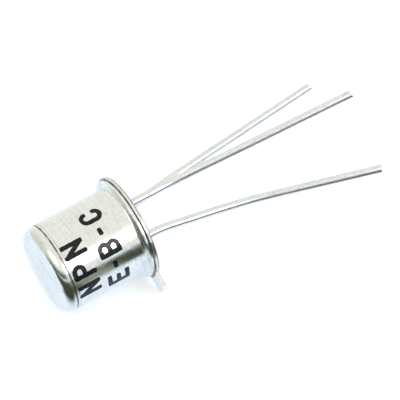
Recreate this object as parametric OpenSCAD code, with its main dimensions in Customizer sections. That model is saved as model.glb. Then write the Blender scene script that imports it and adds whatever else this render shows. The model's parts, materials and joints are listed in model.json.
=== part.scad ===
// Small metal-can npn transistor with three wire leads, lying as it comes to rest.
// The can is first built upright: seating plane at z = 0, can's top up, index tab along +X.
// It is then laid down: the flange's rim, the top's rounded edge and the tab's corner meet the ground.

/* [Cap] */
// Outside diameter of the can's wall
can_d = 4.65; // [4.52:0.01:4.95]
// Height of the can's top above the seating plane
can_h = 5.05; // [4.32:0.01:5.33]
// Outside radius of the corner drawn round the top
can_corner_r = 0.52; // [0.40:0.01:0.60]
// Height of the crown, from the fine groove round the wall up to the top
crown_h = 0.66; // [0.62:0.01:0.80]
// How much less the crown stands out than the wall
crown_step = 0.02; // [0.01:0.01:0.03]
// Radius of the fine groove under the crown
groove_r = 0.04; // [0.04:0.01:0.05]
// Thickness of the sheet that the cap is drawn from
cap_sheet = 0.18; // [0.14:0.01:0.22]
// Radius in the corner between the wall and the weld flange
cap_fillet_r = 0.15; // [0.10:0.01:0.18]

/* [Header] */
// Diameter of the header's flange
flange_d = 5.60; // [5.45:0.01:5.84]
// Thickness of the header's flange and tab
flange_t = 0.20; // [0.16:0.01:0.26]
// How far the header's flange stands out past the cap's
flange_step = 0.10; // [0.04:0.01:0.15]
// Radius on the outer edges of both flanges
flange_edge_r = 0.05; // [0.03:0.01:0.06]
// Height of the chip platform above the seating plane
platform_h = 1.05; // [0.95:0.01:1.30]
// Thickness of the chip platform
platform_t = 0.25; // [0.18:0.01:0.32]
// Thickness of the header's upright wall
eyelet_t = 0.20; // [0.14:0.01:0.24]
// Radius round the top edge of the header's wall
eyelet_corner_r = 0.22; // [0.10:0.01:0.30]
// Radial gap between the header's wall and the cap
cap_gap = 0.12; // [0.08:0.01:0.16]

/* [Index tab] */
// Width of the tab
tab_w = 1.00; // [0.92:0.01:1.16]
// Length of the tab outside the flange
tab_len = 0.82; // [0.72:0.01:1.20]
// Radius of the two corners at the tab's end
tab_corner_r = 0.08; // [0.04:0.01:0.15]

/* [Glass seal] */
// Diameter of the two glass-filled holes in the platform
seal_hole_d = 0.90; // [0.80:0.01:0.98]
// How far the glass stops short of the seating plane
glass_recess = 0.10; // [0.06:0.01:0.15]

/* [Leads] */
// Diameter of a lead
lead_d = 0.43; // [0.41:0.01:0.48]
// Diameter of the circle that the leads stand on
lead_circle_d = 2.54; // [2.40:0.01:2.54]
// Length of a lead below the seating plane, measured along it
lead_len = 13.0; // [12.7:0.1:16.0]
// Slant of the clipped ends
clip_deg = 20; // [0:1:35]
// Straight run of the emitter lead before its first bend
emitter_run = 0.53; // [0.30:0.01:1.20]
// Straight run of the emitter lead between its bends
emitter_mid_run = 2.60; // [2.00:0.05:4.00]
// Straight run of the base lead before its first bend
base_run = 1.90; // [1.20:0.05:2.50]
// Straight run of the base lead between its bends
base_mid_run = 3.35; // [2.50:0.05:4.00]
// Straight run of the collector lead before its first bend
collector_run = 0.20; // [0.20:0.01:0.60]
// Straight run of the collector lead between its bends
collector_mid_run = 2.95; // [2.00:0.05:4.00]
// Radius of the first bend of the emitter and base leads
near_bend_r = 6.0; // [4.0:0.5:8.0]
// Radius of the collector lead's first bend, close to the header
tight_bend_r = 2.5; // [2.0:0.1:4.0]
// Radius of the long bend farther along each lead
far_bend_r = 14.0; // [10.0:0.5:18.0]
// Height of the inner posts above the platform
post_h = 0.45; // [0.35:0.01:0.60]
// Diameter of the flattened head on a post
post_head_d = 0.60; // [0.50:0.01:0.70]
// Thickness of the flattened head on a post
post_head_t = 0.10; // [0.06:0.01:0.14]

/* [Chip] */
// Side of the square silicon chip
chip_w = 0.42; // [0.30:0.01:0.60]
// Thickness of the chip
chip_t = 0.15; // [0.10:0.01:0.25]
// Width of the gold layer left showing round the chip
solder_margin = 0.04; // [0.02:0.01:0.08]
// Thickness of the gold layer under the chip
solder_t = 0.02; // [0.01:0.01:0.04]
// Diameter of a bond wire
bond_d = 0.03; // [0.02:0.005:0.05]
// Distance of each bond from the chip's centre
pad_offset = 0.10; // [0.06:0.01:0.12]

/* [Hidden] */
$fn = 64;
// Small overlap that makes neighbouring shapes of one piece merge.
eps = 0.01;

can_r = can_d / 2;
crown_r = can_r - crown_step;
crown_z = can_h - crown_h;
shoulder_z = crown_z - sqrt(groove_r * groove_r - crown_step * crown_step);
flange_r = flange_d / 2;
cap_flange_r = flange_r - flange_step;
cap_inner_r = can_r - cap_sheet;
cap_flare_r = cap_fillet_r + cap_sheet;
eyelet_r = cap_inner_r - cap_gap;
bore_r = eyelet_r - eyelet_t;
platform_z = platform_h - platform_t;
lead_circle_r = lead_circle_d / 2;
post_top = platform_h + post_h;
tab_reach = flange_r + tab_len;

// Places of the leads round the can, counted from the tab and seen from the can's top.
emitter_at = 45;
base_at = 135;
collector_at = 225;

// Bends of each lead: straight run before the bend, its direction (0 is away from the can's
// axis, and it grows clockwise seen from the can's top), its angle, and its radius.
emitter_bends = [[emitter_run, 42.4, 10.4, near_bend_r], [emitter_mid_run, -17.7, 12.5, far_bend_r]];
base_bends = [[base_run, 59, 14.0, near_bend_r], [base_mid_run, -117, 1.0, far_bend_r]];
collector_bends = [[collector_run, 24, 7.2, tight_bend_r], [collector_mid_run, -108, 1.5, far_bend_r]];

// A bent length is this much thinner in radius, and reaches this far into its neighbours.
bend_thinning = 0.001;
lead_lap = 0.04;

// Bond wires: a ball on the chip, a loop, and a stitch on the post.
ball_d = 2.6 * bond_d;
ball_t = 1.2 * bond_d;
stitch_d = 3.0 * bond_d;
stitch_t = 1.2 * bond_d;
chip_top = platform_h + solder_t + chip_t;

// Rest pose: the can's axis dips by rest_tilt, on the common tangent of the flange's rounded edge
// and the crown's corner or the shoulder under it, whichever meets the ground first. The can rolls
// until the corner of the tab, rest_roll below the horizontal, is level with them.
edge_z = flange_t - flange_edge_r;
edge_x = flange_r - flange_edge_r;
corner_z = can_h - can_corner_r;
corner_x = crown_r - can_corner_r;
function edge_tilt(x, z, r) =
    atan2(edge_x - x, z - edge_z) - asin((r - flange_edge_r) / norm([z - edge_z, edge_x - x]));
rest_tilt = min(edge_tilt(corner_x, corner_z, can_corner_r), edge_tilt(can_r, shoulder_z, 0));
rim_drop = edge_x + flange_edge_r * (1 - sin(rest_tilt)) / cos(rest_tilt);
tab_arm = [tab_reach - tab_corner_r, tab_w / 2 - tab_corner_r];
rest_roll = asin((rim_drop - tab_corner_r) / norm(tab_arm)) - atan2(tab_arm[1], tab_arm[0]);
rest_h = edge_x * cos(rest_tilt) + edge_z * sin(rest_tilt) + flange_edge_r;
// Side of the can that lies on the ground. The turned shapes start there, so a faceted copy of
// them still rests on a point of the true circle.
ground_at = rest_roll - 90;

// Turns of a vector about one axis.
function rot_x(v, a) = [v[0], v[1] * cos(a) - v[2] * sin(a), v[1] * sin(a) + v[2] * cos(a)];
function rot_y(v, a) = [v[0] * cos(a) + v[2] * sin(a), v[1], v[2] * cos(a) - v[0] * sin(a)];
function rot_z(v, a) = [v[0] * cos(a) - v[1] * sin(a), v[0] * sin(a) + v[1] * cos(a), v[2]];
function turned(v, axis, a) = v * cos(a) + cross(axis, v) * sin(a) + axis * (axis * v) * (1 - cos(a));
function laid(v) = rot_y(rot_z(rot_x(rot_z(v, -rest_roll), 90), -90), -rest_tilt);

// A lead's state is its point, its heading and the direction that counts as 0.
function bend_way(s, b) = s[2] * cos(b[1]) + cross(s[1], s[2]) * sin(b[1]);
function bent(s, b, way) = [
    s[0] + s[1] * (b[0] + b[3] * sin(b[2])) + way * b[3] * (1 - cos(b[2])),
    turned(s[1], cross(s[1], way), b[2]),
    turned(s[2], cross(s[1], way), b[2])];
function followed(s, bends, i = 0) =
    i < len(bends) ? followed(bent(s, bends[i], bend_way(s, bends[i])), bends, i + 1) : s;
function used_len(bends, i = 0) =
    i < len(bends) ? bends[i][0] + bends[i][3] * bends[i][2] * PI / 180 + used_len(bends, i + 1) : 0;
function tail_len(bends) = lead_len - used_len(bends);
function lead_end(bends) = followed([[0, 0, 0], [0, 0, 1], [1, 0, 0]], bends);
function lead_out(bends, at) = laid(rot_z(rot_x(lead_end(bends)[1], 180), at));
function lead_tip(bends, at) = laid(rot_z([lead_circle_r, 0, 0]
    + rot_x(lead_end(bends)[0] + lead_end(bends)[1] * tail_len(bends), 180), at));

// The frame's origin lies under the middle of the outline seen from above.
tips = [lead_tip(emitter_bends, emitter_at), lead_tip(base_bends, base_at),
        lead_tip(collector_bends, collector_at)];
outs = [lead_out(emitter_bends, emitter_at), lead_out(base_bends, base_at),
        lead_out(collector_bends, collector_at)];
function spread(i, k) = lead_d / 2 * sqrt(1 - pow(outs[i][k], 2));
x_low = -corner_z * cos(rest_tilt) - corner_x * sin(rest_tilt) - can_corner_r;
x_high = max([for (i = [0:2]) tips[i][0] + spread(i, 0)]);
y_low = min([for (i = [0:2]) tips[i][1] - spread(i, 1)]);
y_high = max(flange_r, max([for (i = [0:2]) tips[i][1] + spread(i, 1)]));
origin_x = (x_low + x_high) / 2;
origin_y = (y_low + y_high) / 2;

// Lays the upright transistor down on the ground.
module rest() {
    translate([-origin_x, -origin_y, rest_h])
        rotate([0, -rest_tilt, 0])
            rotate([90, 0, -90])
                rotate([0, 0, -rest_roll])
                    children();
}

// Half section of a filled cup from the axis to r, its top corner rounded.
module cup_section(r, z, h, corner_r) {
    translate([0, z])
        square([r, h - z - corner_r]);
    translate([0, h - corner_r - eps])
        square([r - corner_r, corner_r + eps]);
    translate([r - corner_r, h - corner_r])
        circle(corner_r);
}

// Half section of a flange out to r, with its outer edges rounded.
module flange_section(r, z, t) {
    translate([0, z])
        square([r - flange_edge_r, t]);
    translate([0, z + flange_edge_r])
        square([r, t - 2 * flange_edge_r]);
    for (edge_z = [z + flange_edge_r, z + t - flange_edge_r])
        translate([r - flange_edge_r, edge_z])
            circle(flange_edge_r);
}

// Web that fills the corner between a wall at r and a flange's face at z.
module fillet_section(r, z, fillet_r) {
    difference() {
        translate([r - eps, z - eps])
            square(fillet_r + eps);
        translate([r + fillet_r, z + fillet_r])
            circle(fillet_r);
    }
}

// Drawn shell: one sheet thickness from the top, down the wall and out into the weld flange.
// The crown stands a hair inside the wall, above a fine groove.
module cap_shell() {
    rotate(ground_at)
        rotate_extrude()
            difference() {
                union() {
                    cup_section(crown_r, flange_t, can_h, can_corner_r);
                    translate([0, flange_t])
                        square([can_r, crown_z - flange_t]);
                    flange_section(cap_flange_r, flange_t, cap_sheet);
                    fillet_section(can_r, flange_t + cap_sheet, cap_fillet_r);
                }
                cup_section(cap_inner_r, flange_t - eps, can_h - cap_sheet, can_corner_r - cap_sheet);
                fillet_section(cap_inner_r, flange_t, cap_flare_r);
                translate([crown_r, crown_z])
                    circle(groove_r);
            }
}

module tab_outline() {
    translate([bore_r + eyelet_t, -tab_w / 2])
        square([tab_reach - tab_corner_r - bore_r - eyelet_t, tab_w]);
    translate([bore_r + eyelet_t, tab_corner_r - tab_w / 2])
        square([tab_reach - bore_r - eyelet_t, tab_w - 2 * tab_corner_r]);
    for (side = [-1, 1])
        translate([tab_reach - tab_corner_r, side * (tab_w / 2 - tab_corner_r)])
            circle(tab_corner_r);
}

// Stamped eyelet: flange with the index tab, upright wall and chip platform.
module header_body() {
    difference() {
        union() {
            rotate(ground_at)
                rotate_extrude()
                    difference() {
                        union() {
                            cup_section(eyelet_r, 0, platform_h, eyelet_corner_r);
                            flange_section(flange_r, 0, flange_t);
                        }
                        square([bore_r, platform_z]);
                        fillet_section(bore_r, 0, glass_recess);
                    }
            linear_extrude(flange_t)
                tab_outline();
        }
        seal_holes(seal_hole_d);
    }
}

// Holes for the two leads that pass through the platform.
module seal_holes(d) {
    for (at = [emitter_at, base_at])
        rotate(at)
            translate([lead_circle_r, 0, platform_z - eps])
                cylinder(h = platform_t + 2 * eps, d = d);
}

// Glass that fills the header from below and rises round the two insulated posts.
module glass_fill() {
    difference() {
        union() {
            translate([0, 0, glass_recess])
                cylinder(h = platform_z - glass_recess, r = bore_r);
            for (at = [emitter_at, base_at])
                rotate(at)
                    translate([lead_circle_r, 0, platform_z - eps])
                        cylinder(h = platform_t + eps, d = seal_hole_d);
        }
        for (at = [emitter_at, base_at, collector_at])
            rotate(at)
                translate([lead_circle_r, 0, 0])
                    cylinder(h = platform_h + eps, d = lead_d);
    }
}

// Arc of wire that leaves along +Z and bends towards +X. It is a hair thinner than the straight
// lengths, and runs on into them by the angle lap.
module wire_arc(d, radius, angle, lap) {
    translate([radius, 0, 0])
        rotate([90, 0, 180])
            rotate(-lap)
                rotate_extrude(angle = angle + 2 * lap)
                    translate([radius, 0])
                        circle(d = d - 2 * bend_thinning);
}

// Runs along +Z through its bends and ends in a slanted clip.
module bent_lead(bends, i = 0) {
    if (i < len(bends)) {
        b = bends[i];
        cylinder(h = b[0], d = lead_d);
        translate([0, 0, b[0]])
            rotate(b[1]) {
                wire_arc(lead_d, b[3], b[2], lead_lap / b[3] * 180 / PI);
                translate([b[3] * (1 - cos(b[2])), 0, b[3] * sin(b[2])])
                    rotate([0, b[2], 0])
                        rotate(-b[1])
                            bent_lead(bends, i + 1);
            }
    } else {
        clipped_end(tail_len(bends));
    }
}

module clipped_end(length) {
    difference() {
        cylinder(h = length, d = lead_d);
        translate([0, 0, length - lead_d / 2 * tan(clip_deg)])
            rotate([0, clip_deg, 0])
                translate([-lead_d, -lead_d, 0])
                    cube(2 * lead_d);
    }
}

// One lead below and inside the seating plane, up to the given height.
module lead(at, bends, top) {
    rotate(at)
        translate([lead_circle_r, 0, 0]) {
            rotate([180, 0, 0])
                bent_lead(bends);
            cylinder(h = top, d = lead_d);
        }
}

// Flattened end of a post, where its bond wire is stitched.
module post_head(at) {
    rotate(at)
        translate([lead_circle_r, 0, post_top - post_head_t])
            cylinder(h = post_head_t, d = post_head_d);
}

// Bond wire from the chip's upper face to the head of the post at the given angle.
module bond_wire(at) {
    rise = post_top + stitch_t / 2 - chip_top - ball_t;
    run = lead_circle_r - pad_offset;
    loop_r = (run * run + rise * rise) / (2 * run);
    sweep = 180 - atan2(rise, run - loop_r);
    rotate(at) {
        translate([pad_offset, 0, chip_top])
            cylinder(h = ball_t, d = ball_d);
        translate([pad_offset, 0, chip_top + ball_t])
            wire_arc(bond_d, loop_r, sweep, 0);
        translate([lead_circle_r, 0, post_top])
            cylinder(h = stitch_t, d = stitch_d);
    }
}

module cap() {
    color("gainsboro")
        rest()
            cap_shell();
}

module header() {
    color("silver")
        rest()
            header_body();
}

module glass_seal() {
    color("darkslategray")
        rest()
            glass_fill();
}

module emitter_lead() {
    color("lightgray")
        rest() {
            lead(emitter_at, emitter_bends, post_top);
            post_head(emitter_at);
        }
}

module base_lead() {
    color("lightgray")
        rest() {
            lead(base_at, base_bends, post_top);
            post_head(base_at);
        }
}

module collector_lead() {
    color("lightgray")
        rest()
            lead(collector_at, collector_bends, platform_z);
}

module chip() {
    color("dimgray")
        rest()
            translate([-chip_w / 2, -chip_w / 2, platform_h + solder_t])
                cube([chip_w, chip_w, chip_t]);
}

module chip_solder() {
    color("gold")
        rest()
            translate([-chip_w / 2 - solder_margin, -chip_w / 2 - solder_margin, platform_h])
                cube([chip_w + 2 * solder_margin, chip_w + 2 * solder_margin, solder_t]);
}

module emitter_bond_wire() {
    color("gold")
        rest()
            bond_wire(emitter_at);
}

module base_bond_wire() {
    color("gold")
        rest()
            bond_wire(base_at);
}

cap();
header();
glass_seal();
emitter_lead();
base_lead();
collector_lead();
chip();
chip_solder();
emitter_bond_wire();
base_bond_wire();
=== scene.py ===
"""Looks for a small npn transistor in a round metal can, lying on its flange, tab and top edge."""

import json
import logging
import math
from dataclasses import dataclass, field
from enum import Enum

import bmesh
import bpy
from mathutils import Matrix, Vector, noise


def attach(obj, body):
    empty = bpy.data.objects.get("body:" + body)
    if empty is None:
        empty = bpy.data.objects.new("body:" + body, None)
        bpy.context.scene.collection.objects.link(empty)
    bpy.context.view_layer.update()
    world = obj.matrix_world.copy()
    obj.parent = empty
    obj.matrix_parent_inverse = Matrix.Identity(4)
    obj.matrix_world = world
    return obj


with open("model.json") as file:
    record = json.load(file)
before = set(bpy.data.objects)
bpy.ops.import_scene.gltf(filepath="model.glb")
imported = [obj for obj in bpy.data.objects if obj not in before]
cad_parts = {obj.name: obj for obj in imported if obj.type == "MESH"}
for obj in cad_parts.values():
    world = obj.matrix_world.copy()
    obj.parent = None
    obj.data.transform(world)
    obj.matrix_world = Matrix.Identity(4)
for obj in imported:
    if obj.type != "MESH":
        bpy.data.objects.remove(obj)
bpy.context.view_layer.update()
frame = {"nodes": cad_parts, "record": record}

logging.basicConfig(level=logging.INFO, format="%(message)s")
LOG = logging.getLogger("transistor")

Socket = bpy.types.NodeSocket
Color = tuple[float, float, float, float]
Point = tuple[float, float, float]
Range = tuple[float, float]

MM = 0.001
WHITE: Color = (1.0, 1.0, 1.0, 1.0)
ORIGIN: Point = (0.0, 0.0, 0.0)
FRONT: Point = (0.0, -1.0, 0.0)
RIGHT: Point = (1.0, 0.0, 0.0)


def metres(limits: Range) -> Range:
    """Returns two places in millimetres as metres."""
    return limits[0] * MM, limits[1] * MM


class Slot(Enum):
    """Material slots of the record."""

    CAN = "can_nickel"
    HEADER = "header_nickel"
    GLASS = "seal_glass"
    LEAD = "lead_tin"
    SILICON = "silicon"
    GOLD = "gold"
    INK = "marking_ink"


class SocketKind(Enum):
    """Kinds of socket that a node group has."""

    VALUE = "NodeSocketFloat"
    VECTOR = "NodeSocketVector"
    COLOR = "NodeSocketColor"


@dataclass
class NodeBench:
    """Adds and wires nodes in one node tree.

    Args:
        tree: the node tree that is built.
    """

    tree: bpy.types.NodeTree

    # A colour Mix node repeats its sockets' names, so its sockets are taken by number.
    MIX_FACTOR, MIX_FIRST, MIX_SECOND, MIX_RESULT = 0, 6, 7, 2

    def add(self, kind: str, **settings: object) -> bpy.types.Node:
        """Adds a node and sets its properties.

        Args:
            kind: Blender's name of the node type.
            settings: property names and values.

        Returns:
            The new node.
        """
        node = self.tree.nodes.new(kind)
        for name, value in settings.items():
            setattr(node, name, value)
        return node

    def feed(self, source: object, target: Socket) -> None:
        """Links a socket to a target, or sets the target to a plain value.

        Args:
            source: a socket, or the value itself.
            target: the input that takes it.
        """
        if isinstance(source, Socket):
            self.tree.links.new(source, target)
        else:
            target.default_value = source

    def math(
        self, operation: str, first: object, second: object = 0.0, clamp: bool = False
    ) -> Socket:
        """Adds a Math node.

        Args:
            operation: Blender's name of the operation.
            first: a socket or a number.
            second: a socket or a number.
            clamp: whether the result stays between 0 and 1.

        Returns:
            The node's output.
        """
        node = self.add("ShaderNodeMath", operation=operation, use_clamp=clamp)
        self.feed(first, node.inputs[0])
        self.feed(second, node.inputs[1])
        return node.outputs[0]

    def times(self, first: object, second: object) -> Socket:
        """Returns the product of two sockets or numbers."""
        return self.math("MULTIPLY", first, second)

    def span(self, value: Socket, given: Range, wanted: Range = (0.0, 1.0)) -> Socket:
        """Adds a Map Range node with a smooth step.

        Args:
            value: the socket that is mapped.
            given: values between which the result changes.
            wanted: results at those two values.

        Returns:
            The mapped value.
        """
        node = self.add("ShaderNodeMapRange", interpolation_type="SMOOTHSTEP")
        names = ("Value", "From Min", "From Max", "To Min", "To Max")
        for name, number in zip(names, (value, *given, *wanted)):
            self.feed(number, node.inputs[name])
        return node.outputs["Result"]

    def blend(self, factor: object, first: object, second: object, mode: str = "MIX") -> Socket:
        """Adds a colour Mix node.

        Args:
            factor: share of the second colour.
            first: a colour or a socket.
            second: a colour or a socket.
            mode: Blender's blend type.

        Returns:
            The mixed colour.
        """
        node = self.add("ShaderNodeMix", data_type="RGBA", blend_type=mode)
        self.feed(factor, node.inputs[self.MIX_FACTOR])
        self.feed(first, node.inputs[self.MIX_FIRST])
        self.feed(second, node.inputs[self.MIX_SECOND])
        return node.outputs[self.MIX_RESULT]

    def along(self, vector: Socket, way: Point, start: Point = ORIGIN) -> Socket:
        """Measures how far a point lies from a start along a direction.

        Args:
            vector: the point.
            way: unit direction.
            start: point where the distance is zero, in metres.

        Returns:
            The distance in metres.
        """
        offset = self.add("ShaderNodeVectorMath", operation="SUBTRACT")
        self.feed(vector, offset.inputs[0])
        self.feed(start, offset.inputs[1])
        dot = self.add("ShaderNodeVectorMath", operation="DOT_PRODUCT")
        self.feed(offset.outputs["Vector"], dot.inputs[0])
        self.feed(way, dot.inputs[1])
        return dot.outputs["Value"]

    def stretched(self, vector: Socket, factors: Point) -> Socket:
        """Stretches a pattern's coordinates.

        Args:
            vector: the coordinates.
            factors: scale on the three axes; below 1 draws the pattern out.

        Returns:
            The stretched coordinates.
        """
        node = self.add("ShaderNodeMapping")
        self.feed(vector, node.inputs["Vector"])
        self.feed(factors, node.inputs["Scale"])
        return node.outputs["Vector"]

    def noise(
        self, vector: Socket, scale: object, detail: float, roughness: float = 0.55
    ) -> Socket:
        """Adds a Noise Texture.

        Args:
            vector: the coordinates.
            scale: a socket or a number.
            detail: number of octaves.
            roughness: weight of the finer octaves.

        Returns:
            The noise between 0 and 1.
        """
        node = self.add("ShaderNodeTexNoise")
        self.feed(vector, node.inputs["Vector"])
        self.feed(scale, node.inputs["Scale"])
        self.feed(detail, node.inputs["Detail"])
        self.feed(roughness, node.inputs["Roughness"])
        return node.outputs["Fac"]


@dataclass
class EffectGroup:
    """A shader node group that several finishes share, built once.

    Args:
        name: name of the group.
        inputs: names and kinds of the inputs.
        outputs: names and kinds of the outputs.
    """

    name: str
    inputs: dict[str, SocketKind]
    outputs: dict[str, SocketKind]

    def begin(self) -> tuple[NodeBench, bpy.types.Node, bpy.types.Node]:
        """Makes the empty group.

        Returns:
            The bench, the group's input node and its output node.
        """
        tree = bpy.data.node_groups.new(self.name, "ShaderNodeTree")
        for side, sockets in (("INPUT", self.inputs), ("OUTPUT", self.outputs)):
            for label, kind in sockets.items():
                tree.interface.new_socket(name=label, in_out=side, socket_type=kind.value)
        bench = NodeBench(tree)
        return bench, bench.add("NodeGroupInput"), bench.add("NodeGroupOutput")

    def built(self) -> bpy.types.NodeTree:
        """Returns the group, and makes it at the first call."""
        return bpy.data.node_groups.get(self.name) or self.build()

    def build(self) -> bpy.types.NodeTree:
        """Makes the group's nodes; each effect has its own."""
        raise NotImplementedError

    def place(self, bench: NodeBench, **values: object) -> bpy.types.Node:
        """Places the group in a material.

        Args:
            bench: bench of the material's node tree.
            values: input names, with _ for a space, and what feeds them.

        Returns:
            The group node.
        """
        node = bench.add("ShaderNodeGroup", node_tree=self.built())
        for name, value in values.items():
            bench.feed(value, node.inputs[name.replace("_", " ")])
        return node


class PlatingGroup(EffectGroup):
    """Uneven plating: cloudy tone, fine pits and faint drawing lines."""

    # Detail and roughness of each noise.
    CLOUD_NOISE = (4.0, 0.6)
    GRAIN_NOISE = (3.0, 0.7)
    LINE_NOISE = (2.0, 0.5)
    # Noise values between which each mark sets in.
    FLECK_SPAN = (0.50, 0.68)
    STAIN_SPAN = (0.42, 0.72)
    GROOVE_SPAN = (0.52, 0.70)
    # Shares of the marks in the tarnish and in the roughness.
    FLECK_TARNISH, GROOVE_TARNISH, STAIN_TARNISH = 0.6, 0.35, 0.25
    STAIN_ROUGHNESS, FLECK_ROUGHNESS = 0.6, 0.4
    # Shares of the noises in the height.
    CLOUD_HEIGHT, GRAIN_HEIGHT, LINE_HEIGHT = 0.5, 0.3, 0.2

    def __init__(self) -> None:
        """Names the group and its sockets."""
        super().__init__(
            "plating_unevenness",
            {
                "Vector": SocketKind.VECTOR,
                "Line Vector": SocketKind.VECTOR,
                "Clean Color": SocketKind.COLOR,
                "Tarnish Color": SocketKind.COLOR,
                "Cloud Scale": SocketKind.VALUE,
                "Grain Scale": SocketKind.VALUE,
                "Tarnish": SocketKind.VALUE,
                "Roughness Low": SocketKind.VALUE,
                "Roughness High": SocketKind.VALUE,
            },
            {
                "Color": SocketKind.COLOR,
                "Roughness": SocketKind.VALUE,
                "Height": SocketKind.VALUE,
            },
        )

    def build(self) -> bpy.types.NodeTree:
        """Makes the nodes of the plating effect.

        Returns:
            The node group.
        """
        bench, source, result = self.begin()
        out = source.outputs
        cloud = bench.noise(out["Vector"], out["Cloud Scale"], *self.CLOUD_NOISE)
        grain = bench.noise(out["Vector"], out["Grain Scale"], *self.GRAIN_NOISE)
        lines = bench.noise(out["Line Vector"], out["Grain Scale"], *self.LINE_NOISE)
        fleck = bench.span(grain, self.FLECK_SPAN)
        stain = bench.span(cloud, self.STAIN_SPAN)
        groove = bench.span(lines, self.GROOVE_SPAN)

        specks = bench.math(
            "ADD",
            bench.times(fleck, self.FLECK_TARNISH),
            bench.times(groove, self.GROOVE_TARNISH),
        )
        marks = bench.math("ADD", bench.times(stain, self.STAIN_TARNISH), specks, clamp=True)
        share = bench.times(marks, out["Tarnish"])
        color = bench.blend(share, out["Clean Color"], out["Tarnish Color"])
        bench.feed(color, result.inputs["Color"])

        dull = bench.math(
            "ADD",
            bench.times(stain, self.STAIN_ROUGHNESS),
            bench.times(fleck, self.FLECK_ROUGHNESS),
            clamp=True,
        )
        spread = bench.math("SUBTRACT", out["Roughness High"], out["Roughness Low"])
        rough = bench.math("ADD", out["Roughness Low"], bench.times(dull, spread))
        bench.feed(rough, result.inputs["Roughness"])

        fine = bench.math(
            "ADD",
            bench.times(grain, self.GRAIN_HEIGHT),
            bench.times(lines, self.LINE_HEIGHT),
        )
        height = bench.math("ADD", bench.times(cloud, self.CLOUD_HEIGHT), fine)
        bench.feed(height, result.inputs["Height"])
        return bench.tree


class SeamGroup(EffectGroup):
    """Painted shade along a seam or groove at one height, thicker in some places."""

    # Scale and detail of the noise that makes the painted shade patchy.
    PATCH_NOISE = (2600.0, 3.0)
    # Noise values between which the painted shade thickens, and its thinnest and thickest share.
    PATCH_SPAN = (0.30, 0.60)
    PATCH_SHARE = (0.45, 1.0)
    # Share of the half width over which the painted shade's edge fades.
    FADE = 0.7

    def __init__(self) -> None:
        """Names the group and its sockets."""
        super().__init__(
            "seam_painted_shade",
            {
                "Vector": SocketKind.VECTOR,
                "Height": SocketKind.VALUE,
                "Level": SocketKind.VALUE,
                "Half Width": SocketKind.VALUE,
                "Amount": SocketKind.VALUE,
                "Clean Color": SocketKind.COLOR,
                "Dirt Color": SocketKind.COLOR,
            },
            {"Color": SocketKind.COLOR, "Mask": SocketKind.VALUE},
        )

    def build(self) -> bpy.types.NodeTree:
        """Makes the nodes of the seam effect.

        Returns:
            The node group.
        """
        bench, source, result = self.begin()
        out = source.outputs
        apart = bench.math("ABSOLUTE", bench.math("SUBTRACT", out["Height"], out["Level"]))
        reach = bench.math("DIVIDE", apart, out["Half Width"])
        near = bench.math("SUBTRACT", 1.0, reach, clamp=True)
        patch = bench.noise(out["Vector"], *self.PATCH_NOISE)
        thick = bench.span(patch, self.PATCH_SPAN, self.PATCH_SHARE)
        # Painted shade: a patchy dark band at one height.
        line = bench.times(bench.span(near, (0.0, self.FADE)), thick)
        mask = bench.times(line, out["Amount"])
        bench.feed(mask, result.inputs["Mask"])
        color = bench.blend(mask, out["Clean Color"], out["Dirt Color"])
        bench.feed(color, result.inputs["Color"])
        return bench.tree


PLATING = PlatingGroup()
SEAM = SeamGroup()


@dataclass(frozen=True)
class CanPlace:
    """Where the can lies, in millimetres and degrees.

    Args:
        seat: centre of the can's open end, where the flange sits on a board.
        tilt: how far the can's top leans to the ground.
        radius: radius of the can's wall.
    """

    seat: Point = (-3.80916, 0.845473, 2.79956)
    tilt: float = 6.40966
    radius: float = 2.325

    def axis(self) -> Vector:
        """Returns the direction from the seat to the can's top."""
        lean = math.radians(self.tilt)
        return Vector((-math.cos(lean), 0.0, -math.sin(lean)))

    def crest(self) -> Vector:
        """Returns the direction from the can's axis to its highest line."""
        lean = math.radians(self.tilt)
        return Vector((-math.sin(lean), 0.0, math.cos(lean)))

    def wrap(self, across: float, along: float, lift: float) -> Vector:
        """Lays a flat point round the can's wall.

        Args:
            across: way round the wall, from its front line upwards.
            along: height above the seat.
            lift: distance above the wall.

        Returns:
            The point in metres.
        """
        turn = across / self.radius
        out = Vector(FRONT) * math.cos(turn) + self.crest() * math.sin(turn)
        return (Vector(self.seat) + self.axis() * along + out * (self.radius + lift)) * MM

    def measured(self, bench: NodeBench, point: Socket) -> tuple[Socket, Socket]:
        """Measures a point against the can.

        Args:
            bench: bench of the material.
            point: the point, in Object coordinates.

        Returns:
            Its height above the seat and its distance from the can's axis, in metres.
        """
        start = tuple(place * MM for place in self.seat)
        height = bench.along(point, tuple(self.axis()), start)
        side = bench.along(point, FRONT, start)
        rise = bench.along(point, tuple(self.crest()), start)
        squares = bench.math("ADD", bench.times(side, side), bench.times(rise, rise))
        return height, bench.math("SQRT", squares)


CAN = CanPlace()


@dataclass(frozen=True)
class Seam:
    """One line of painted shade round the can, in millimetres.

    Args:
        level: height of its middle above the seat.
        half_width: half of its height.
        amount: share of the painted shade's colour.
        reach: lowest and highest distance from the can's axis.
        dulling: how much rougher the surface is where the painted shade is thickest.
    """

    level: float
    half_width: float
    amount: float
    reach: Range = (0.0, 10.0)
    dulling: float = 0.3


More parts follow.
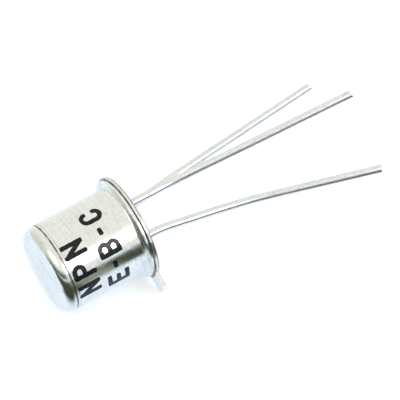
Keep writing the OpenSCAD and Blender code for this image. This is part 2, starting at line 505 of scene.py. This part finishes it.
@dataclass(frozen=True)
class Finish:
    """A surface whose colour, gloss and height vary a little from place to place.

    Args:
        name: name of the material.
        clean: colour of the clean places.
        tarnish: colour of the spots.
        tarnish_share: how strong the spots are.
        rough: roughness of the brightest and of the dullest places.
        cloud_scale: size of the clouds, as Blender's noise scale.
        grain_scale: size of the fine grain, as Blender's noise scale.
        bump_height: height of the unevenness, in millimetres.
        stretch: factors on the three axes that stretch the pattern.
        line_stretch: factors on the three axes that stretch the drawing lines.
    """

    name: str
    clean: Color
    tarnish: Color
    tarnish_share: float = 0.9
    rough: Range = (0.12, 0.30)
    cloud_scale: float = 1100.0
    grain_scale: float = 5200.0
    bump_height: float = 0.010
    stretch: Point = (1.0, 1.0, 1.0)
    line_stretch: Point = (1.0, 1.0, 1.0)

    def material(self) -> bpy.types.Material:
        """Makes the material.

        Returns:
            The finished material.
        """
        made = bpy.data.materials.new(self.name)
        made.use_nodes = True
        bench = NodeBench(made.node_tree)
        shader = made.node_tree.nodes["Principled BSDF"]
        place = bench.add("ShaderNodeTexCoord").outputs["Object"]
        effect = PLATING.place(
            bench,
            Vector=bench.stretched(place, self.stretch),
            Line_Vector=bench.stretched(place, self.line_stretch),
            Clean_Color=self.clean,
            Tarnish_Color=self.tarnish,
            Cloud_Scale=self.cloud_scale,
            Grain_Scale=self.grain_scale,
            Tarnish=self.tarnish_share,
            Roughness_Low=self.rough[0],
            Roughness_High=self.rough[1],
        )
        color, rough = self.with_seam_shade(
            bench, place, effect.outputs["Color"], effect.outputs["Roughness"]
        )
        bench.feed(color, shader.inputs["Base Color"])
        bench.feed(rough, shader.inputs["Roughness"])
        bump = bench.add("ShaderNodeBump")
        bench.feed(self.bump_height * MM, bump.inputs["Distance"])
        bench.feed(effect.outputs["Height"], bump.inputs["Height"])
        bench.feed(bump.outputs["Normal"], shader.inputs["Normal"])
        for label, value in self.constants().items():
            bench.feed(value, shader.inputs[label])
        return made

    def with_seam_shade(
        self, bench: NodeBench, place: Socket, color: Socket, rough: Socket
    ) -> tuple[Socket, Socket]:
        """Returns the colour and the roughness as they come; a finish with painted seam shade adds
        it.
        """
        return color, rough

    def constants(self) -> dict[str, float]:
        """Returns the shader's values that are the same all over; each finish has its own."""
        raise NotImplementedError


@dataclass(frozen=True)
class PlatedFinish(Finish):
    """Bright plated metal with drawing lines and painted shade in its seams.

    Args:
        seams: lines of painted shade round the can.
        seam_shade: colour of that painted shade.
    """

    line_stretch: Point = (1.0, 0.06, 0.06)
    seams: tuple[Seam, ...] = ()
    # Colour of the painted shade in the seams.
    seam_shade: Color = (0.07, 0.07, 0.05, 1.0)

    def with_seam_shade(
        self, bench: NodeBench, place: Socket, color: Socket, rough: Socket
    ) -> tuple[Socket, Socket]:
        """Adds the painted shade of the seams.

        Args:
            bench: bench of the material.
            place: Object coordinates.
            color: colour without the painted shade.
            rough: roughness without the painted shade.

        Returns:
            The colour and the roughness with the painted shade.
        """
        for seam in self.seams:
            height, radius = CAN.measured(bench, place)
            inner, outer = metres(seam.reach)
            within = bench.times(
                bench.math("GREATER_THAN", radius, inner),
                bench.math("LESS_THAN", radius, outer),
            )
            line = SEAM.place(
                bench,
                Vector=place,
                Height=height,
                Level=seam.level * MM,
                Half_Width=seam.half_width * MM,
                Amount=bench.times(within, seam.amount),
                Clean_Color=color,
                Dirt_Color=self.seam_shade,
            )
            color = line.outputs["Color"]
            dulled = bench.times(line.outputs["Mask"], seam.dulling)
            rough = bench.math("ADD", rough, dulled, clamp=True)
        return color, rough

    def constants(self) -> dict[str, float]:
        """Returns the value that makes the surface metal."""
        return {"Metallic": 1.0}


@dataclass(frozen=True)
class GlassFinish(Finish):
    """Sealing glass with small bubbles and an uneven surface.

    Args:
        clearness: share of the light that goes through.
        ior: index of refraction.
    """

    clearness: float = 0.35
    ior: float = 1.5

    def constants(self) -> dict[str, float]:
        """Returns the values that make the surface glass."""
        return {"Metallic": 0.0, "Transmission Weight": self.clearness, "IOR": self.ior}


@dataclass(frozen=True)
class InkFinish(Finish):
    """Printed ink, thin and a little uneven.

    Args:
        gloss: strength of its shine.
    """

    gloss: float = 0.3

    def constants(self) -> dict[str, float]:
        """Returns the value that sets the ink's shine."""
        return {"Specular IOR Level": self.gloss}


CAN_NICKEL = PlatedFinish(
    "can_nickel_plate",
    clean=(0.90, 0.905, 0.90, 1.0),
    tarnish=(0.66, 0.65, 0.57, 1.0),
    grain_scale=7600.0,
    # Painted shade in the lines near the can's top and at its flange.
    seams=(Seam(4.395, 0.06, 0.85), Seam(4.24, 0.035, 0.35), Seam(0.20, 0.03, 0.8)),
)
HEADER_NICKEL = PlatedFinish(
    "header_nickel_plate",
    clean=(0.86, 0.865, 0.86, 1.0),
    tarnish=(0.66, 0.65, 0.58, 1.0),
    # Painted shade along the rims of the flanges.
    seams=(Seam(0.20, 0.035, 0.8, (2.6, 2.82)), Seam(0.03, 0.075, 0.72, (2.74, 2.82))),
)
LEAD_TIN = PlatedFinish(
    "lead_tin_plate",
    clean=(0.86, 0.865, 0.865, 1.0),
    tarnish=(0.52, 0.52, 0.50, 1.0),
    tarnish_share=0.75,
    rough=(0.14, 0.36),
    grain_scale=11000.0,
    stretch=(0.25, 1.0, 1.0),
    line_stretch=(0.03, 1.0, 1.0),
)
SILICON = PlatedFinish(
    "silicon_die", clean=(0.20, 0.22, 0.27, 1.0), tarnish=(0.10, 0.11, 0.15, 1.0)
)
GOLD = PlatedFinish("gold_wire", clean=(0.95, 0.70, 0.32, 1.0), tarnish=(0.80, 0.55, 0.22, 1.0))
GLASS = GlassFinish(
    "seal_glass_body",
    clean=(0.30, 0.36, 0.34, 1.0),
    tarnish=(0.62, 0.68, 0.66, 1.0),
    tarnish_share=0.35,
    rough=(0.06, 0.2),
    cloud_scale=1800.0,
    grain_scale=7000.0,
    bump_height=0.020,
)
INK = InkFinish(
    "marking_ink_print",
    clean=(0.002, 0.002, 0.004, 1.0),
    tarnish=(0.022, 0.020, 0.034, 1.0),
    rough=(0.10, 0.28),
    cloud_scale=3200.0,
    grain_scale=9000.0,
    bump_height=0.006,
)


@dataclass
class InkPen:
    """Draws one stroke of ink as a flat ribbon that grows from its end edge, in millimetres.

    Args:
        mesh: the mesh that the ribbon is added to.
        width: width of the stroke.
        step: longest step between two cross lines.
        corner_share: share of the width that each end corner's rounding takes.
        corner_segments: segments of that rounding.
        arc_segments: fewest segments of an arc.
        heading: direction of the stroke in radians, 0 to the right.
        middle: where the pen is.
        edge: cross line that the ribbon grows from.
        corners: the first two corners of the stroke.
    """

    mesh: bmesh.types.BMesh
    width: float
    step: float = 0.12
    corner_share: float = 0.32
    corner_segments: int = 3
    arc_segments: int = 3
    heading: float = 0.0
    middle: Vector = field(default_factory=Vector)
    edge: bmesh.types.BMEdge | None = None
    corners: list[bmesh.types.BMVert] = field(default_factory=list)

    def ahead_way(self) -> Vector:
        """Returns the direction of the stroke."""
        return Vector((math.cos(self.heading), math.sin(self.heading), 0.0))

    def left_way(self) -> Vector:
        """Returns the direction to the left of the stroke."""
        return Vector((-math.sin(self.heading), math.cos(self.heading), 0.0))

    def start(self, across: float, along: float, heading: float) -> "InkPen":
        """Sets the pen down.

        Args:
            across: place from left to right.
            along: place from bottom to top.
            heading: direction in degrees, 0 to the right and 90 upwards.

        Returns:
            The pen.
        """
        self.heading = math.radians(heading)
        self.middle = Vector((across, along, 0.0))
        side = self.left_way() * self.width / 2
        self.corners = [self.mesh.verts.new(self.middle + way) for way in (side, -side)]
        self.edge = self.mesh.edges.new(self.corners)
        return self

    def ahead(self, length: float) -> "InkPen":
        """Draws a straight line.

        Args:
            length: how far the pen goes.

        Returns:
            The pen.
        """
        count = max(1, math.ceil(length / self.step))
        move = self.ahead_way() * length / count
        for _ in range(count):
            grown = bmesh.ops.extrude_edge_only(self.mesh, edges=[self.edge])["geom"]
            self.edge = next(item for item in grown if isinstance(item, bmesh.types.BMEdge))
            bmesh.ops.translate(self.mesh, vec=move, verts=list(self.edge.verts))
        self.middle = self.middle + self.ahead_way() * length
        return self

    def turn(self, angle: float, radius: float) -> "InkPen":
        """Draws an arc.

        Args:
            angle: turn in degrees, to the left if above zero.
            radius: radius of the stroke's middle line.

        Returns:
            The pen.
        """
        sweep = math.radians(angle)
        spun = bmesh.ops.spin(
            self.mesh,
            geom=[self.edge, *self.edge.verts],
            cent=self.middle + self.left_way() * math.copysign(radius, sweep),
            axis=(0.0, 0.0, 1.0),
            angle=sweep,
            steps=max(self.arc_segments, math.ceil(abs(sweep) * radius / self.step)),
            use_merge=False,
            use_duplicate=False,
        )["geom_last"]
        self.edge = next(item for item in spun if isinstance(item, bmesh.types.BMEdge))
        self.heading += sweep
        self.middle = (self.edge.verts[0].co + self.edge.verts[1].co) / 2
        return self

    def lift(self) -> None:
        """Rounds both ends of the stroke."""
        bmesh.ops.bevel(
            self.mesh,
            geom=[*self.corners, *self.edge.verts],
            offset=self.width * self.corner_share,
            offset_type="OFFSET",
            segments=self.corner_segments,
            profile=0.5,
            material=-1,
            affect="VERTICES",
        )


class Letter(Enum):
    """Plain block letters of the marking."""

    N = "N"
    P = "P"
    E = "E"
    B = "B"
    C = "C"
    DASH = "-"


@dataclass
class InkRow:
    """One row of ink letters round the can, in millimetres and degrees.

    Args:
        name: name of the piece.
        letters: the letters in reading order.
        turns: way round the can of each letter's middle, from the front line upwards.
        base: height of the letters' feet above the seat.
        height: height of the letters.
        width: width of a letter.
        stroke: width of a stroke.
        thickness: thickness of the ink.
        clearance: distance of the ink's underside above the wall.
        bleed: how far the edges wander where the ink spread.
        bleed_scale: how often they wander in a millimetre.
        bleed_seed: seed of that wander, so that each run prints the same.
        arms: level of each arm of an E and its length, as shares.
        mouth: straight part at each end of a C.
        dash: length of a dash.
    """

    name: str
    letters: tuple[Letter, ...]
    turns: tuple[float, ...]
    base: float
    height: float
    width: float = 0.78
    stroke: float = 0.235
    thickness: float = 0.010
    clearance: float = 0.002
    bleed: float = 0.022
    bleed_scale: float = 7.0
    bleed_seed: int = 12
    arms: tuple[Range, ...] = ((0.0, 1.0), (0.5, 0.85), (1.0, 1.0))
    mouth: float = 0.06
    dash: float = 0.4

    # Points closer than this are one point.
    MERGE = 0.00001

    def strokes(self, letter: Letter, pen: InkPen, left: float) -> None:
        """Draws the strokes of one letter.

        Args:
            letter: which letter.
            pen: the pen that draws.
            left: place of the letter's left stroke.
        """
        foot = self.base + self.stroke / 2
        tall = self.height - self.stroke
        wide = self.width - self.stroke
        if letter in (Letter.N, Letter.P, Letter.E, Letter.B):
            pen.start(left, self.base, 90).ahead(self.height).lift()
        if letter is Letter.N:
            pen.start(left + wide, self.base, 90).ahead(self.height).lift()
            slope = math.degrees(math.atan2(-tall, wide))
            pen.start(left, foot + tall, slope).ahead(math.hypot(wide, tall)).lift()
        elif letter is Letter.P:
            self.bowl(pen, left, foot + tall)
        elif letter is Letter.B:
            self.bowl(pen, left, foot + tall)
            self.bowl(pen, left, foot + tall / 2)
        elif letter is Letter.E:
            for level, share in self.arms:
                arm = (wide + self.stroke / 2) * share
                pen.start(left, foot + tall * level, 0).ahead(arm).lift()
        elif letter is Letter.C:
            bend = wide / 2
            pen.start(left + wide, foot + tall - bend - self.mouth, 90)
            pen.ahead(self.mouth).turn(180, bend).ahead(tall - 2 * bend)
            pen.turn(180, bend).ahead(self.mouth).lift()
        elif letter is Letter.DASH:
            pen.start(left + (wide - self.dash) / 2, foot + tall / 2, 0).ahead(self.dash).lift()

    def bowl(self, pen: InkPen, left: float, top: float) -> None:
        """Draws one bowl of a P or a B.

        Args:
            pen: the pen that draws.
            left: place of the letter's left stroke.
            top: height of the bowl's upper line.
        """
        bend = (self.height - self.stroke) / 4
        flat = self.width - self.stroke - bend
        pen.start(left, top, 0).ahead(flat).turn(-180, bend).ahead(flat).lift()

    def build(self) -> bpy.types.Object:
        """Makes the row, wraps it round the can and dresses it.

        Returns:
            The row's object.
        """
        bm = bmesh.new()
        for letter, turn in zip(self.letters, self.turns):
            left = CAN.radius * math.radians(turn) - (self.width - self.stroke) / 2
            self.strokes(letter, InkPen(bm, self.stroke), left)
        bmesh.ops.remove_doubles(bm, verts=bm.verts[:], dist=self.MERGE)
        noise.seed_set(self.bleed_seed)
        for vert in bm.verts:
            wander = noise.noise_vector(vert.co * self.bleed_scale) * self.bleed
            vert.co += Vector((wander.x, wander.y, 0.0))
        grown = bmesh.ops.extrude_face_region(bm, geom=bm.faces[:], use_keep_orig=True)["geom"]
        tops = [item for item in grown if isinstance(item, bmesh.types.BMVert)]
        bmesh.ops.translate(bm, vec=(0.0, 0.0, self.thickness), verts=tops)
        bmesh.ops.recalc_face_normals(bm, faces=bm.faces[:])
        for vert in bm.verts:
            vert.co = CAN.wrap(vert.co.x, vert.co.y, self.clearance + vert.co.z)
        data = bpy.data.meshes.new(self.name)
        bm.to_mesh(data)
        bm.free()
        data.materials.append(bpy.data.materials.get(INK.name) or INK.material())
        made = bpy.data.objects.new(self.name, data)
        bpy.context.scene.collection.objects.link(made)
        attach(made, "root")
        LOG.info("built %s with %d faces", self.name, len(data.polygons))
        return made


@dataclass
class SubAssembly:
    """CAD nodes that keep their shape and get a finish.

    Args:
        finishes: the finish of each of its slots.
    """

    finishes: dict[Slot, Finish]

    def dress(self) -> None:
        """Puts each finish on the nodes of its slot."""
        for slot, finish in self.finishes.items():
            made = finish.material()
            for part in frame["record"]["subparts"]:
                if part["material_slot"] == slot.value:
                    node = frame["nodes"][part["node"]]
                    node.data.materials.clear()
                    node.data.materials.append(made)
                    LOG.info("dressed %s with %s", part["node"], made.name)


@dataclass
class MarkedCap(SubAssembly):
    """The cap with the print on its wall, in millimetres and degrees.

    Args:
        finishes: the finish of the cap's slot.
        type_base: height of the upper row's feet above the seat.
        type_height: height of the upper row's letters.
        lead_base: height of the lower row's feet above the seat.
        lead_height: height of the lower row's letters.
    """

    finishes: dict[Slot, Finish] = field(default_factory=lambda: {Slot.CAN: CAN_NICKEL})
    type_base: float = 3.03
    type_height: float = 1.22
    lead_base: float = 1.45
    lead_height: float = 1.20

    def build(self) -> None:
        """Prints the kind of transistor and the names of its leads round the can."""
        InkRow(
            "ink_type_row",
            letters=(Letter.N, Letter.P, Letter.N),
            turns=(-6.0, 22.0, 50.0),
            base=self.type_base,
            height=self.type_height,
        ).build()
        InkRow(
            "ink_lead_row",
            letters=(Letter.E, Letter.DASH, Letter.B, Letter.DASH, Letter.C),
            turns=(-14.0, 9.0, 31.0, 54.0, 77.0),
            base=self.lead_base,
            height=self.lead_height,
        ).build()


@dataclass
class Camera:
    """The photograph's camera in the frame of the CAD, in millimetres and degrees.

    Args:
        place: where it stands.
        azimuth: way round from the front, towards the left.
        elevation: how far it looks down.
        roll: turn about its line of sight.
        lens: focal length.
        sensor: width of the sensor.
        clip: nearest and farthest distance that it sees.
    """

    place: Point = (-30.4269, -56.1624, 52.2914)
    azimuth: float = 28.3285
    elevation: float = 37.5258
    roll: float = -5.2118
    lens: float = 143.424
    sensor: float = 36.0
    clip: Range = (1.0, 10000.0)

    def build(self) -> None:
        """Makes the camera and sets it as the scene's."""
        az, el, roll = (math.radians(a) for a in (self.azimuth, self.elevation, self.roll))
        back = Vector((-math.sin(az) * math.cos(el), -math.cos(az) * math.cos(el), math.sin(el)))
        level = Vector((math.cos(az), -math.sin(az), 0.0))
        upright = back.cross(level)
        right = math.cos(roll) * level + math.sin(roll) * upright
        up = -math.sin(roll) * level + math.cos(roll) * upright
        data = bpy.data.cameras.new("photo_camera")
        data.lens = self.lens
        data.sensor_width = self.sensor
        data.clip_start, data.clip_end = metres(self.clip)
        made = bpy.data.objects.new("photo_camera", data)
        bpy.context.scene.collection.objects.link(made)
        turn = Matrix((right, up, back)).transposed().to_4x4()
        made.matrix_world = Matrix.Translation(Vector(self.place) * MM) @ turn
        bpy.context.scene.camera = made
        LOG.info("camera built")


@dataclass
class Lamp:
    """One soft rectangular lamp, in millimetres.

    Args:
        name: name of the lamp.
        place: where it hangs.
        width: width of its face.
        height: height of its face.
        radiance: brightness of its face, where 1 is white.
        aim: what it points at.
    """

    name: str
    place: Point
    width: float
    height: float
    radiance: float
    aim: Point = (-6.4, 0.8, 2.5)

    def build(self) -> None:
        """Makes the lamp; its power follows from its size and radiance."""
        data = bpy.data.lights.new(self.name, "AREA")
        data.shape = "RECTANGLE"
        data.size = self.width * MM
        data.size_y = self.height * MM
        data.energy = self.radiance * math.pi * data.size * data.size_y
        made = bpy.data.objects.new(self.name, data)
        bpy.context.scene.collection.objects.link(made)
        place, aim = Vector(self.place) * MM, Vector(self.aim) * MM
        turn = (place - aim).to_track_quat("Z", "Y").to_matrix().to_4x4()
        made.matrix_world = Matrix.Translation(place) @ turn
        LOG.info("lamp %s built", self.name)


@dataclass(frozen=True)
class PaintedDarkReflection:
    """Painted reflection: a dark band in the paper's colour in front of the can, in millimetres.

    Only the bright metal shows it, as a dark band. Each span is a pair of places from left to
    right between which something changes.

    Args:
        start: how far in front of the origin the band starts, at its left and its right.
        start_span: where the start changes.
        notch: how much farther it starts at its left end, and past it.
        notch_span: where that changes.
        softness: half of the width of its near edge.
        end: distances in front of the origin between which it fades out.
        dark: colour of the painted dark reflection.
        pale: colour of its paler places.
        pale_from: where the paler middle sets in.
        pale_to: where the paler middle ends.
        right_from: where the paler right end sets in.
        right_share: how pale the right end is.
    """

    start: Range = (1.8, 4.9)
    start_span: Range = (-8.3, -6.0)
    notch: Range = (1.1, 0.0)
    notch_span: Range = (-13.5, -11.0)
    softness: float = 1.0
    end: Range = (18.0, 60.0)
    dark: Color = (0.045, 0.055, 0.03, 1.0)
    pale: Color = (0.26, 0.28, 0.23, 1.0)
    pale_from: Range = (-6.8, -5.8)
    pale_to: Range = (-4.4, -3.2)
    right_from: Range = (-1.5, 1.0)
    right_share: float = 0.45

    def over(self, bench: NodeBench, floor: Color) -> Socket:
        """Lays the painted dark reflection over the floor's colour.

        Args:
            bench: bench of the floor's material.
            floor: colour of the bare floor.

        Returns:
            The colour.
        """
        place = bench.add("ShaderNodeTexCoord").outputs["Object"]
        front = bench.along(place, FRONT)
        side = bench.along(place, RIGHT)
        start = bench.span(side, metres(self.start_span), metres(self.start))
        notch = bench.span(side, metres(self.notch_span), metres(self.notch))
        inside = bench.math("SUBTRACT", front, bench.math("ADD", start, notch))
        near = bench.span(inside, metres((-self.softness, self.softness)))
        # Painted reflection: the dark band, soft at its near edge and fading out far away.
        painted_reflection_band = bench.times(near, bench.span(front, metres(self.end), (1.0, 0.0)))
        middle = bench.times(
            bench.span(side, metres(self.pale_from)),
            bench.span(side, metres(self.pale_to), (1.0, 0.0)),
        )
        right = bench.times(bench.span(side, metres(self.right_from)), self.right_share)
        pale = bench.math("ADD", middle, right, clamp=True)
        return bench.blend(painted_reflection_band, floor, bench.blend(pale, self.dark, self.pale))


@dataclass(frozen=True)
class Room:
    """Soft surroundings that the bright metal shows.

    Args:
        near_wall: colour of the room at the right.
        far_wall: colour of the room at the left.
        far_way: direction to the left.
        far_span: cosines from that direction between which the colour changes.
        gap: colour of the unlit gap low in the room.
        gap_way: direction to that gap.
        gap_span: cosines from that direction between which it sets in.
        gap_height: heights in the room between which it ends.
    """

    near_wall: Color = (0.92, 0.93, 0.87, 1.0)
    far_wall: Color = (0.72, 0.72, 0.65, 1.0)
    far_way: Point = (-0.866, 0.5, 0.0)
    far_span: Range = (0.3, 0.9)
    gap: Color = (0.14, 0.15, 0.11, 1.0)
    gap_way: Point = (-0.743, -0.669, 0.0)
    gap_span: Range = (0.45, 0.80)
    gap_height: Range = (0.15, 0.42)

    def build(self) -> None:
        """Makes the surroundings, white where the camera looks past the floor."""
        world = bpy.data.worlds.new("soft_room")
        bpy.context.scene.world = world
        world.use_nodes = True
        bench = NodeBench(world.node_tree)
        way = bench.add("ShaderNodeTexCoord").outputs["Generated"]
        parts = bench.add("ShaderNodeSeparateXYZ")
        bench.feed(way, parts.inputs[0])
        low = bench.span(parts.outputs["Z"], self.gap_height, (1.0, 0.0))
        facing = bench.span(bench.along(way, self.gap_way), self.gap_span)
        far = bench.span(bench.along(way, self.far_way), self.far_span)
        walls = bench.blend(far, self.near_wall, self.far_wall)
        room = bench.blend(bench.times(low, facing), walls, self.gap)
        path = bench.add("ShaderNodeLightPath")
        color = bench.blend(path.outputs["Is Camera Ray"], room, WHITE)
        bench.feed(color, world.node_tree.nodes["Background"].inputs["Color"])
        LOG.info("surroundings built")


@dataclass
class Studio:
    """Pale paper floor with painted reflections for the bright metal, soft surroundings and lamps.

    Args:
        floor_half: half of the floor's side, in metres.
        floor_cells: squares along the floor's side.
        floor_color: colour of the paper.
        floor_painted_reflection: bluer colour that the bright metal sees, a painted reflection.
        floor_roughness: roughness of the paper.
        floor_gloss: strength of the paper's shine.
        camera_glow: light that the paper adds for the camera, which keeps its shadows faint.
        painted_reflection_glow: light that the paper adds in the bright metal only, a painted
            glow.
        mirror_share: share of the painted reflection's colour that takes light and shadow.
        painted_reflection_band: painted dark reflection in front of the can.
        room: the surroundings.
        lamps: the soft lamps.
    """

    floor_half: float = 0.4
    floor_cells: int = 4
    floor_color: Color = (0.86, 0.87, 0.89, 1.0)
    floor_painted_reflection: Color = (0.87, 0.98, 1.11, 1.0)
    floor_roughness: float = 0.9
    floor_gloss: float = 0.1
    camera_glow: float = 0.3
    painted_reflection_glow: float = 0.76
    mirror_share: float = 0.25
    painted_reflection_band: PaintedDarkReflection = field(default_factory=PaintedDarkReflection)
    room: Room = field(default_factory=Room)
    lamps: tuple[Lamp, ...] = (
        Lamp("front_softbox", (31.0, -80.0, 52.0), 62.0, 38.0, 4.0),
        Lamp("side_softbox", (-58.0, -37.0, 74.0), 74.0, 42.0, 1.3),
    )

    def paper(self) -> bpy.types.Material:
        """Makes the paper; the bright metal sees a painted reflection of it, the camera plain
        paper.

        Returns:
            The finished material.
        """
        made = bpy.data.materials.new("pale_paper")
        made.use_nodes = True
        bench = NodeBench(made.node_tree)
        shader = made.node_tree.nodes["Principled BSDF"]
        bench.feed(self.floor_roughness, shader.inputs["Roughness"])
        bench.feed(self.floor_gloss, shader.inputs["Specular IOR Level"])
        path = bench.add("ShaderNodeLightPath").outputs
        glossy = path["Is Glossy Ray"]
        # Painted reflection: for the bright metal the paper is bluer, has a dark band and glows on
        # its own.
        painted_reflection_color = self.painted_reflection_band.over(bench, self.floor_painted_reflection)
        share = (self.mirror_share, self.mirror_share, self.mirror_share, 1.0)
        dimmed = bench.blend(1.0, painted_reflection_color, share, "MULTIPLY")
        bench.feed(bench.blend(glossy, self.floor_color, dimmed), shader.inputs["Base Color"])
        bench.feed(bench.blend(glossy, WHITE, painted_reflection_color), shader.inputs["Emission Color"])
        strength = bench.math(
            "ADD",
            bench.times(path["Is Camera Ray"], self.camera_glow),
            bench.times(glossy, self.painted_reflection_glow),
        )
        bench.feed(strength, shader.inputs["Emission Strength"])
        return made

    def build_floor(self) -> None:
        """Makes the pale floor with its soft shadow."""
        data = bpy.data.meshes.new("floor")
        bm = bmesh.new()
        bmesh.ops.create_grid(
            bm, x_segments=self.floor_cells, y_segments=self.floor_cells, size=self.floor_half
        )
        bm.to_mesh(data)
        bm.free()
        made = bpy.data.objects.new("floor", data)
        bpy.context.scene.collection.objects.link(made)
        data.materials.append(self.paper())
        LOG.info("floor built")

    def build(self) -> None:
        """Makes the floor, the surroundings and the lamps, and sets the view transform."""
        bpy.context.scene.view_settings.view_transform = "Standard"
        self.build_floor()
        self.room.build()
        for lamp in self.lamps:
            lamp.build()


def main() -> None:
    """Builds the scene in order."""
    Camera().build()
    Studio().build()
    cap = MarkedCap()
    cap.build()
    cap.dress()
    SubAssembly({Slot.HEADER: HEADER_NICKEL, Slot.GLASS: GLASS}).dress()
    SubAssembly({Slot.LEAD: LEAD_TIN}).dress()
    SubAssembly({Slot.SILICON: SILICON, Slot.GOLD: GOLD}).dress()


if __name__ == "__main__":
    main()
